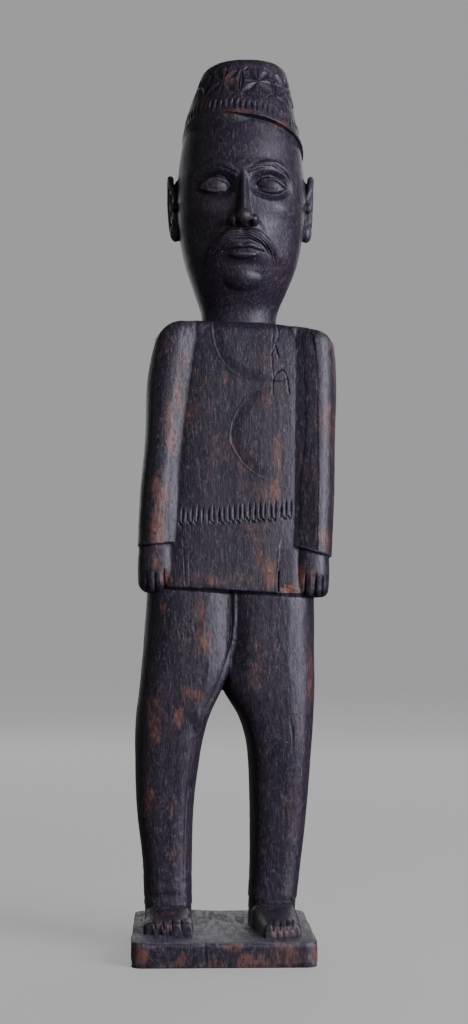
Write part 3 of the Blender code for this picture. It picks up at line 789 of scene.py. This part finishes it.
def makeHead(material):
    forms = [makeDrum(head["stations"], ringPlaces(358, 522, 150, 0, 8), head["squareness"], 220, tune=tuneHead)]
    forms += [makeCapForm(), makeBrimFillet()] + makeFace()
    piece = mergeForms("head_and_cap", forms, head["voxel"])
    refine(piece, lambda co: (co.z > 485 and co.z - 0.25 * co.y < 530) or (co.y < -24 and 400 < co.z < 470))
    carve(piece, headRelief)
    finishPiece(piece, material)


tunic = {
    "stations": [
        (204, 5, 0, 52.5, 31.5), (225, 6, 0, 52, 30), (260, 8, 0, 49, 28.5),
        (310, 11, 0, 48, 28), (350, 13, 0.5, 47, 27), (374, 13.5, 1, 42, 24)],
    "squareness": 4, "hem": 204.6, "slant": 0.055, "shoulder": 371, "voxel": 0.56,
    "sashCuts": 22, "sashLeft": -25, "sashRight": 41.5, "sashHeight": 249.8, "sashRise": 4.2,
    # across and up: the outline of the shoulders from the front
    "shoulderLine": [
        (-45.5, 343), (-43.6, 350.5), (-41.4, 357.4), (-40.1, 360.4), (-37.4, 364.6), (-34.3, 367.6), (-30, 369.8),
        (-25.2, 370.8), (-15, 371), (10, 371.3), (25, 370.6), (34.2, 369.2), (42.3, 367.6), (48, 366.8),
        (58.3, 364.6), (64, 361.4), (67.4, 356.9), (69.5, 351.2), (71.2, 344)],
}
arms = {
    "left": {
        "stations": [
            (228, -40.6, -14.3, 12, 17.4), (260, -39.6, -12.7, 11.4, 18.4), (300, -36.2, -9.4, 11.6, 20.4),
            (335, -33.4, -6.4, 13.2, 22.4), (374, -27, -4, 13.4, 23)],
        "facet": [
            (233, -39.2, -31.2, -28.3, -27.3), (250, -38.4, -31.1, -28.2, -26.8), (280, -35.2, -30.3, -27.3, -26.2),
            (300, -33.5, -29.5, -24.6, -25.9), (337, -29.4, -28.5, -19.4, -25.4), (358, -25.4, -27, -16.6, -24.2),
            (365, -23.8, -25.4, -15.9, -23), (370.2, -22.8, -23.2, -15.3, -21.6)],
        "hand": [(203.3, -40.2, -14.5, 11.2, 14), (219, -40.1, -15.5, 12, 15), (240, -39.8, -14, 11.4, 14)],
        "cuff": 233, "slant": -0.10, "top": 373, "fingertips": 203.3, "turn": -1, "round": 6.5,
        "grooves": ((-0.40, 2.1, 16.5), (0.10, 1.6, 15), (0.55, 1.4, 14)),
    },
    "right": {
        "stations": [
            (224, 54.9, -14.3, 12.2, 17.4), (260, 56.2, -12.7, 12.6, 18.4), (300, 57.6, -9.4, 12.6, 20.4),
            (335, 57.5, -6.4, 13.6, 22.4), (370, 56.5, -4, 13.4, 23)],
        "facet": [
            (228.5, 57.4, -31.1, 43.6, -27.7), (260, 58, -30.8, 44.2, -26.2), (300, 58.4, -29.5, 44.5, -26.2),
            (337, 58, -28.5, 44.7, -25.5), (356, 56.4, -27, 44.9, -24.3), (362, 55.2, -25.6, 45, -23.4),
            (366.4, 54.6, -23.6, 45, -22.2)],
        "hand": [(200.6, 54.2, -14.5, 10.8, 14), (215, 54.6, -15.5, 11.2, 15), (240, 54.6, -14, 10.4, 14)],
        "cuff": 228.5, "slant": 0.28, "top": 369, "fingertips": 200.6, "turn": 1, "round": 4.5,
        "grooves": ((-0.42, 2.2, 16.5), (0.16, 2, 16), (0.58, 1.9, 15)),
    },
}


def fingerCut(x, y, z, arm):
    # grooves between the fingers, from the knuckles to under the fist
    low = arm["fingertips"]
    centreX, centreY, halfWidth, halfDepth = alongStations(arm["hand"], low + 10)
    share = arm["turn"] * (x - centreX) / halfWidth
    cut = np.zeros(len(x))
    for place, deep, top in arm["grooves"]:
        away = np.abs(share - place - 0.004 * (z - low - 8)) * halfWidth
        reach = smoothStep(z, low - 3, low + 1) * (1 - smoothStep(z, low + top - 6, low + top))
        wide = 1.5 - 0.045 * (z - low)
        cut = np.maximum(cut, deep * reach * unit(1 - away / wide))
        # each finger rounds off towards its groove
        cut = np.maximum(cut, 0.4 * deep * reach * unit(1 - away / 2.9))
    return cut * (y < centreY + 2) * (np.abs(share) < 1.3)


def tunicRelief(places, normals):
    x, y, z = places.T
    front = smoothStep(-normals[:, 1], 0.35, 0.7) * (y < 0)
    panel, cut = front.copy(), np.zeros(len(x))
    # each sleeve slopes down a flat facet to its border with the tunic
    facing = unit(-normals[:, 1]) * (y < 0)
    for arm in arms.values():
        centre, turn = alongStations(arm["stations"], 230)[0], arm["turn"]
        ridgeX, ridgeY, borderX, borderY = manyAlong(arm["facet"], z)
        panel *= 1 - smoothStep(turn * (x - borderX), -1.2, 0.4)
        share = (x - ridgeX) / (borderX - ridgeX)
        onSleeve = smoothStep(z - arm["cuff"] + arm["slant"] * (x - centre), -0.6, 0.6)
        onSleeve *= (share > 0) * smoothStep(1.05 - share, 0, 0.1)
        cut += facing * onSleeve * np.clip(ridgeY + (borderY - ridgeY) * np.clip(share, 0, 2) ** 1.4 - y, 0, 3.2)
        cut += fingerCut(x, y, z, arm) * smoothStep(-normals[:, 1], 0.05, 0.4) * (np.abs(x - centre) < 14)

    # the jacket's curved front edges: raised outside, sloping in from the edge
    neckEdge = [(-6.3, 374), (-5.6, 363), (-4.2, 355.5), (-1.4, 348.2), (2, 343.4), (5.6, 339.9), (10, 337.2),
                (14.6, 335.4), (21, 334), (28, 333.3)]
    skirtEdge = [(29.5, 329.4), (25, 328.0), (20.4, 325.8), (14.6, 321.6), (9.9, 315), (6.2, 307.6), (5.0, 300.5),
                 (5.5, 295.5), (7.4, 290.8), (12.7, 282.9), (19.5, 277), (25, 274), (30.5, 272.2)]
    fading = 1 - smoothStep(x, 16, 31)
    cut += panel * fading * edgeCut(x, z, neckEdge, 0.6, 6.0, 0.95)
    cut += panel * fading * edgeCut(x, z, skirtEdge, 0.6, 6.0, 0.95)
    # the front stays flat up to the right sleeve
    cut -= 0.5 * front * (np.clip(x - 26, 0, 19) / 19) ** 3

    # small marks beside the front edge
    scratches = (
        ([(30.5, 325.4), (30.5, 330.5), (31.1, 334.6), (32.9, 338.2), (35.7, 340.1), (38.1, 338.5), (39.6, 333.4),
          (40.6, 325.4)], 1.1, 0.6),
        ([(29.6, 349.4), (32.4, 355), (34.1, 348)], 1.2, 0.75), ([(33.2, 371), (34.2, 364), (33.4, 358)], 1.3, 0.3),
        ([(28, 333.3), (34, 332.8), (40, 332.9)], 1.1, 0.25),
        ([(30.6, 371), (30.9, 362), (29.9, 350), (30.3, 341), (31, 336)], 1.6, 0.22),
        ([(-24.4, 237), (-23.6, 222), (-22.8, 208)], 1.3, 0.3), ([(-20.5, 226), (-20.3, 208)], 1.2, 0.25))
    scratched = sum(grooveCut(x, z, *scratch) for scratch in scratches)
    cut += panel * scratched * (1 + 0.7 * softNoise(places, (1.6, 1.6, 1.6), 51))

    # the sash: a row of upright knife cuts, with slanted nicks at their feet
    rng = np.random.default_rng(5)
    sash = np.zeros(len(x))
    near = (z > 238) & (z < 266) & (y < 0)
    count = tunic["sashCuts"]
    for n in range(count):
        share = n / (count - 1)
        a, b, c, d = rng.uniform(-1, 1, 4)
        middle = tunic["sashLeft"] + (tunic["sashRight"] - tunic["sashLeft"]) * share + 0.35 * a
        height = tunic["sashHeight"] + tunic["sashRise"] * share + 0.8 * b
        upright = leafCut(x[near], z[near], middle, height, 0.06 * c + 0.02, 12.8 + 1.6 * d, 1.9, 0.95 + 0.3 * a)
        nickDepth = (0.8 + 0.4 * c) * (d > -0.6)
        nick = leafCut(x[near], z[near], middle - 1.2, height - 5.4, -1.0 + 0.3 * b, 4.2, 2.0, nickDepth)
        sash[near] = np.maximum(sash[near], np.maximum(upright, nick))
    cut += sash * panel * (1 + 0.5 * softNoise(places, (2, 2, 2), 57))

    # the flap in the hem: a slit, a sunk strip and a split-off chip
    hem = tunic["hem"] - tunic["slant"] * (x - 5)
    slit = [(33.6, 203), (33.6, 209), (33.9, 216), (34.9, 226), (35.4, 235)]
    strip = edgeCut(x, z, slit[::-1], 0.5, 9.0, 1.0) * (1 - smoothStep(z, 224, 238))
    cut += panel * (strip + grooveCut(x, z, slit[:3], 1.4, 1.6))
    split = dish(x, z, 39.3, 205.6, 5.6, 3.6)
    cut += panel * split * (0.8 + 0.6 * softNoise(places, (2.2, 2.2, 1.6), 53))

    # an edge worn uneven along the hem, and long drying cracks on the back
    rag = softNoise(places, (5, 5, 5), 41)
    cut += 0.55 * unit(rag - 0.1) * (1 - smoothStep(z, hem + 1.0, hem + 3.5)) * (z < 214) * (y < 40)
    back = smoothStep(normals[:, 1], 0.3, 0.7)
    wander = 1.4 * softNoise(places * (0, 0, 1), (9, 9, 17), 61)
    cut += back * crackCut(x, z, ((18, 262, 352, 1.0), (-14, 214, 268, 0.8), (33, 300, 340, 0.5)), wander, 12, 0.75)
    spine = back * 0.7 * np.exp(-((x - 10) / 9) ** 2) * smoothStep(z, 220, 260) * (1 - smoothStep(z, 350, 366))
    # the shoulders are trimmed to their line
    line = manyAlong(tunic["shoulderLine"], x)[0]
    fall = np.clip(z - line, 0, 5) * unit(normals[:, 2]) * (z > 340)
    marks = toolMarks(places, 0.24, 0.09, 17)
    marks *= 1 - 0.7 * smoothStep(sash * panel, 0.05, 0.4)
    return marks - cut - spine - fall


def makeTunic(material):
    forms = [makeDrum(tunic["stations"], ringPlaces(tunic["hem"], tunic["shoulder"], 90, 0.9, 6), tunic["squareness"],
                      160, tunic["slant"])]
    for arm in arms.values():
        forms.append(makeDrum(arm["stations"], ringPlaces(arm["cuff"], arm["top"], 70, 1.0, 11), 2.5, 96, arm["slant"]))
        places = ringPlaces(arm["fingertips"], arm["cuff"] + 6, 30, arm["round"], 0)
        forms.append(makeDrum(arm["hand"], places, 2.7, 80))
        forms.append(makeFacet(arm))
    # the shoulders run on into the tunic's top
    for centre, half, top in ((-16, 16, 371.4), (46, 14, 369.4)):
        rows = [(345, centre, -2, half, 22.5), (top, centre, -2, half, 21.5)]
        forms.append(makeDrum(rows, ringPlaces(345, top, 12, 0, 5), 4.0))
    piece = mergeForms("tunic_and_arms", forms, tunic["voxel"])
    refine(piece, lambda co: co.y < -12 and (
        (-12 < co.x < 44 and 245 < co.z < 374) or co.z < 222 or 240 < co.z < 268))
    carve(piece, tunicRelief)
    finishPiece(piece, material)


legs = {
    "left": [
        (-3, -32.8, -1, 14.6, 17.6), (8, -32.8, -1, 14.6, 18), (40, -33.3, -1, 15.4, 18.5), (75, -34.8, -2, 18, 20.5),
        (110, -32.9, -3, 20.5, 23), (128, -30.2, -2.6, 22.7, 24.6), (146, -25.2, -2, 25.8, 26.5),
        (175, -18.8, 0, 29.6, 29), (212, -17, 0, 29, 28)],
    "right": [
        (-3, 30.6, -1, 14.7, 17.6), (8, 30.6, -1, 14.7, 18), (40, 32.9, -1, 16.1, 18.5), (75, 35.1, -2, 17.6, 20.5),
        (110, 35.3, -3, 20, 23), (128, 33.4, -2.6, 23.2, 24.6), (146, 28.8, -2, 28.7, 26.5),
        (175, 28.6, 0, 28.6, 29), (212, 29, 0, 28, 28)],
    # up the front: where each thigh's facet ends, its width, and its start and fall
    "valley": [
        (120, -13.5, 14.5, 7, 4.5, -27, 3), (130, -8.5, 9.4, 9, 7, -27.5, 3.6), (140, -2.6, 4.4, 13, 9, -28.1, 4.8),
        (150, 3.4, 3.8, 16, 11, -28.5, 5.6), (160, 5.6, 5.6, 18, 13, -28.9, 5.8), (212, 5.6, 5.6, 18, 13, -28.7, 5.8)],
    # the squarer inner part of the left thigh, down to the knee
    "inner": [
        (112, -22.5, -3, 9, 19), (128, -19.9, -2.6, 12, 24.2), (146, -11.8, -2, 12, 26.1), (160, -6.6, -0.9, 12, 27.4),
        (175, -1.8, 0, 12, 28.5), (210, -0.6, 0, 12, 27.6)],
    "hems": {"left": 13.6, "right": 17.0}, "tops": {"left": 212, "right": 210.0}, "squareness": 3.25, "voxel": 0.56,
    "underTunic": (202.9, 203.7),
}
feet = {
    "left": {
        "stations": [
            (27, -33, 1, 12.5, 11), (6, -33, 3, 14.4, 11), (-17, -33, 3.4, 14.6, 11.4), (-26, -33, 1.6, 14.4, 9.4),
            (-40, -33, 0, 13.9, 8)],
        "toes": (-22.3, -27.9, -33.3, -38.6, -43.6), "tips": (-43, -43, -42.2, -41, -39)},
    "right": {
        "stations": [
            (27, 30, 1, 12.5, 11), (6, 30.6, 4, 14.4, 13), (-17, 31.4, 4.6, 14.2, 12.2), (-27, 33, 2.4, 12.9, 10),
            (-47, 34.6, 0, 11.4, 8.4)],
        "toes": (26.9, 31.2, 35.2, 39, 42.6), "tips": (-52, -51.2, -50.2, -48.6, -46.6)},
}


def legsRelief(places, normals):
    x, y, z = places.T
    front = smoothStep(-normals[:, 1], 0.2, 0.6) * (y < 0)
    cut = np.zeros(len(x))
    # drying cracks in front and behind
    wander = 1.1 * softNoise(places * (0, 0, 1), (9, 9, 13), 71)
    cracks = {-1: ((41.8, 107, 129, 0.8), (-30, 50, 78, 0.25)), 1: ((-22, 120, 196, 0.7), (40, 40, 120, 0.6))}
    for side, rows in cracks.items():
        cut += smoothStep(normals[:, 1] * side, 0.3, 0.7) * crackCut(x, z, rows, wander, 10, 0.7)
    # the thighs meet in a wide valley between two flat facets
    facing = unit(-normals[:, 1]) * (y < 0)
    lowX, highX, lowWide, highWide, baseY, fall = manyAlong(legs["valley"], z)
    share = np.where(x < (lowX + highX) / 2, (x - lowX) / lowWide + 1, (highX - x) / highWide + 1)
    valley = baseY + fall * np.sign(share) * np.abs(share) ** 1.5
    cut += facing * np.clip(valley - y, 0, 3.8) * smoothStep(z, 118, 134)
    # the thighs are cut back right under the tunic's hem; the wood's colour darkens in this hollow as painted shadow
    cut += 1.2 * smoothStep(z + tunic["slant"] * (x - 5), *legs["underTunic"]) * front
    # a flat knife cut down the inner edge of each leg, in front
    facing *= smoothStep(z, 22, 40)
    for side, turn, wide in (("left", 1, 5.0), ("right", -1, 3.8)):
        legX, _, legWide, _ = manyAlong(legs[side], z)
        inward = legWide - turn * (x - legX)
        here = (x * turn < 4.6 * turn) * (1 - smoothStep(z, 142, 158))
        cut += facing * here * (0.6 * unit(1 - np.abs(inward - wide) / 0.8) + 1.5 * unit(1 - inward / wide))
    # the trousers end in a faint line round the ankles
    for side, hem in legs["hems"].items():
        here = (x < 0) if side == "left" else (x > 0)
        cut += 0.45 * here * (1 - smoothStep(z, hem - 0.9, hem + 0.3)) * (y > -24)
    # short grooves part the toes
    for foot in feet.values():
        toes, tips = foot["toes"], foot["tips"]
        for (toe, nextToe), tip in zip(zip(toes, toes[1:]), tips):
            gap = np.abs(x - (toe + nextToe) / 2)
            reach = (1 - smoothStep(y, tip + 4, tip + 8)) * smoothStep(z, 2, 5) * (z < 13) * (y < -25)
            cut += 0.9 * unit(1 - gap / 0.8) * reach
    # rough whittling round the ankles, and scratches on the left thigh
    ankle = (1 - smoothStep(z, 18, 46)) * (z > 6)
    cut += 0.5 * ankle * unit(softNoise(places, (7, 7, 4), 33))
    scratched = dish(x, z, -23, 181, 9, 12) * front
    cut += 0.3 * scratched * unit(softNoise(places * (1, 0, 1), (0.9, 1, 1.7), 37) * 1.6)
    marks = toolMarks(places, 0.28, 0.15, 29)
    return marks * np.where(z < 12, 0.6, 1) - cut


def makeLegs(material):
    forms = []
    for side in ("left", "right"):
        places = ringPlaces(-3, legs["tops"][side], 100, 1.0, 0)
        forms.append(makeDrum(legs[side], places, legs["squareness"], 120))
        foot = feet[side]
        places = ringPlaces(foot["stations"][-1][0], 27, 40, 1.5, 7)
        forms.append(makeDrum(foot["stations"], places, 3.4, 80, lying=True))
        half = abs(foot["toes"][1] - foot["toes"][0])
        for n, (toe, tip) in enumerate(zip(foot["toes"], foot["tips"])):
            wide = half * (0.82 if n == 0 else 0.74)
            rows = [(tip, toe, 2.0, wide, 5.6 - 0.15 * n), (tip + 7, toe, 2.4, wide, 5.9 - 0.15 * n),
                    (tip + 16, toe, 3, wide, 6.0 - 0.2 * n)]
            forms.append(makeDrum(rows, ringPlaces(tip, tip + 14, 16, 1.8, 0), 3.2, 40, lying=True))
    forms.append(makeDrum(legs["inner"], ringPlaces(112, 208, 60), 5.0, 80))
    piece = mergeForms("legs_and_feet", forms, legs["voxel"])
    refine(piece, lambda co: co.z < 14 and co.y < -24)
    carve(piece, legsRelief)
    finishPiece(piece, material)


plinth = {
    "width": 109.4, "depth": 125, "height": 14.7, "backwards": -6, "corner": 7, "edge": 1.5, "voxel": 0.62,
    "mostTriangles": 120000,
}


def plinthRelief(places, normals):
    x, y, z = places.T
    cut = np.zeros(len(x))
    side = 1 - smoothStep(np.abs(normals[:, 2]), 0.4, 0.9)
    nearEdge = 1 - smoothStep(np.minimum(-z, z + plinth["height"]), 0.3, 3.0)
    rag = softNoise(places, (7, 7, 4), 83) + 0.5 * softNoise(places, (2.6, 2.6, 2.2), 84)
    cut += (0.2 + 0.7 * unit(rag)) * nearEdge * side
    # dents and long grain lines along the sides
    cut += 0.35 * unit(softNoise(places, (11, 11, 3.4), 87) - 0.15) * side
    wander = 0.8 * softNoise(places * (0, 1, 1), (9, 14, 5), 91)
    cut += 0.35 * unit(1 - np.abs(x + 11.5 - wander) / 0.6) * (np.abs(y + 6) > 59) * (z > -12)
    # its lower -X corner is worn round
    corner = np.hypot(np.clip(-48.7 - x, 0, 9), np.clip(-8.7 - z, 0, 9))
    cut += np.clip(corner - 6, 0, 2.4) * side
    marks = toolMarks(places, 0.22, 0.1, 47) * np.interp(normals[:, 2], (-0.5, -0.4, 0.3, 0.8), (0, 1, 1, 0.35))
    marks += 0.4 * softNoise(places, (19, 13, 9), 55) * (normals[:, 2] > 0.5)
    return marks - cut * (normals[:, 2] > -0.6)


def makePlinth(material):
    form = bmesh.new()
    bmesh.ops.create_cube(form, size=1)
    bmesh.ops.scale(form, vec=(plinth["width"], plinth["depth"], plinth["height"]), verts=form.verts)
    bmesh.ops.translate(form, vec=(0, plinth["backwards"], -plinth["height"] / 2), verts=form.verts)
    upright = [e for e in form.edges if abs(e.verts[0].co.z - e.verts[1].co.z) > 5]
    bmesh.ops.bevel(form, geom=upright, offset=plinth["corner"], segments=8, profile=0.5, affect="EDGES", material=-1)
    rim = [e for e in form.edges if abs(e.verts[0].co.z - e.verts[1].co.z) < 5]
    bmesh.ops.bevel(form, geom=rim, offset=plinth["edge"], segments=4, profile=0.5, affect="EDGES", material=-1)
    piece = mergeForms("plinth", [form], plinth["voxel"])
    carve(piece, plinthRelief)
    # the underside stays flat, as it stands on it
    for vert in piece.data.vertices:
        if vert.co.z < 0.7 - plinth["height"]:
            vert.co.z = -plinth["height"]
    finishPiece(piece, material, plinth["mostTriangles"])


studio = {
    "grey": (0.25, 0.247, 0.238, 1), "glow": (0.322, 0.320, 0.316, 1), "flat": 2, "curve": 1.8, "wall": 4.2,
    "world": 0.08, "aim": (0, 0, 0.28),
    "lights": [
        # place, width, height, watts, colour
        ((1.40, -1.20, 0.60), 1.1, 1.6, 71, (0.86, 0.865, 1)), ((0.35, -2.1, 0.75), 1.2, 1, 3.4, (0.98, 0.95, 1)),
        ((-1.7, -0.5, 0.8), 0.8, 1.4, 1.2, (0.95, 0.96, 1)), ((0.5, 1.9, 1.2), 1.4, 1.2, 12, (1, 0.98, 0.98)),
        ((-0.7, 1.9, 0.8), 1.2, 1.2, 5, (0.95, 0.97, 1)),
    ],
    "camera": (-0.0323, -1.1565, 0.200), "lens": 65.6, "turn": 1.97, "rise": 3.39,
}



def makeStudio():
    flat, curve, wall = studio["flat"], studio["curve"], studio["wall"]
    turns = [math.pi / 2 * k / 16 for k in range(17)]
    bend = [(flat + curve * math.sin(a), curve * (1 - math.cos(a))) for a in turns]
    profile = [(0, 0)] + bend + [(flat + curve, wall)]
    form = bmesh.new()
    verts = [form.verts.new((across, 0, up)) for across, up in profile]
    edges = [form.edges.new(pair) for pair in zip(verts, verts[1:])]
    bmesh.ops.spin(
        form, geom=verts + edges, cent=(0, 0, 0), axis=(0, 0, 1), angle=2 * math.pi, steps=96, use_merge=True)
    bmesh.ops.remove_doubles(form, verts=form.verts, dist=1e-5)
    bmesh.ops.recalc_face_normals(form, faces=form.faces)
    form.normal_update()
    if sum(f.normal.z for f in form.faces) < 0:
        bmesh.ops.reverse_faces(form, faces=form.faces)
    mesh = bpy.data.meshes.new("studio_floor")
    form.to_mesh(mesh)
    form.free()
    mesh.shade_smooth()
    floor = addObject("studio_floor", mesh)
    paper = Finish("pale paper")
    tooth = paper.noise(paper.node("ShaderNodeTexCoord", output=3), 900)
    bumped = paper.node("ShaderNodeBump", None, {"Strength": 0.1, "Distance": 0.0005, "Height": tooth})
    closeFinish(paper, paper.node("ShaderNodeBsdfPrincipled", None, {
        "Base Color": studio["grey"], "Roughness": 0.9, "Normal": bumped, "Specular IOR Level": 0.2,
        "Emission Color": studio["glow"], "Emission Strength": 1.0}))
    mesh.materials.append(paper.material)
    # the pale paper doesn't fill in the shadows on the dark wood
    floor.visible_diffuse = False
    floor.visible_glossy = False
    for n, (place, width, height, watts, colour) in enumerate(studio["lights"]):
        lamp = bpy.data.lights.new(f"softbox_{n}", "AREA")
        lamp.shape, lamp.size, lamp.size_y = "RECTANGLE", width, height
        lamp.energy, lamp.color = watts, colour
        light = addObject(lamp.name, lamp)
        light.location = place
        light.rotation_euler = (Vector(studio["aim"]) - Vector(place)).to_track_quat("-Z", "Y").to_euler()
    world = bpy.data.worlds.new("studio air")
    world.use_nodes = True
    world.node_tree.nodes["Background"].inputs["Color"].default_value = (0.9, 0.95, 1.0, 1)
    world.node_tree.nodes["Background"].inputs["Strength"].default_value = studio["world"]
    bpy.context.scene.world = world

    eye = bpy.data.cameras.new("photo_view")
    eye.lens, eye.sensor_width = studio["lens"], 36
    camera = addObject("photo_view", eye)
    camera.location = studio["camera"]
    camera.rotation_euler = (math.radians(90 + studio["rise"]), 0, math.radians(-studio["turn"]))
    bpy.context.scene.camera = camera


print("making the studio and the wood")
makeStudio()
wood = makeWood()
print("carving the plinth")
makePlinth(wood)
print("carving the legs and feet")
makeLegs(wood)
print("carving the tunic and arms")
makeTunic(wood)
print("carving the head and cap")
makeHead(wood)
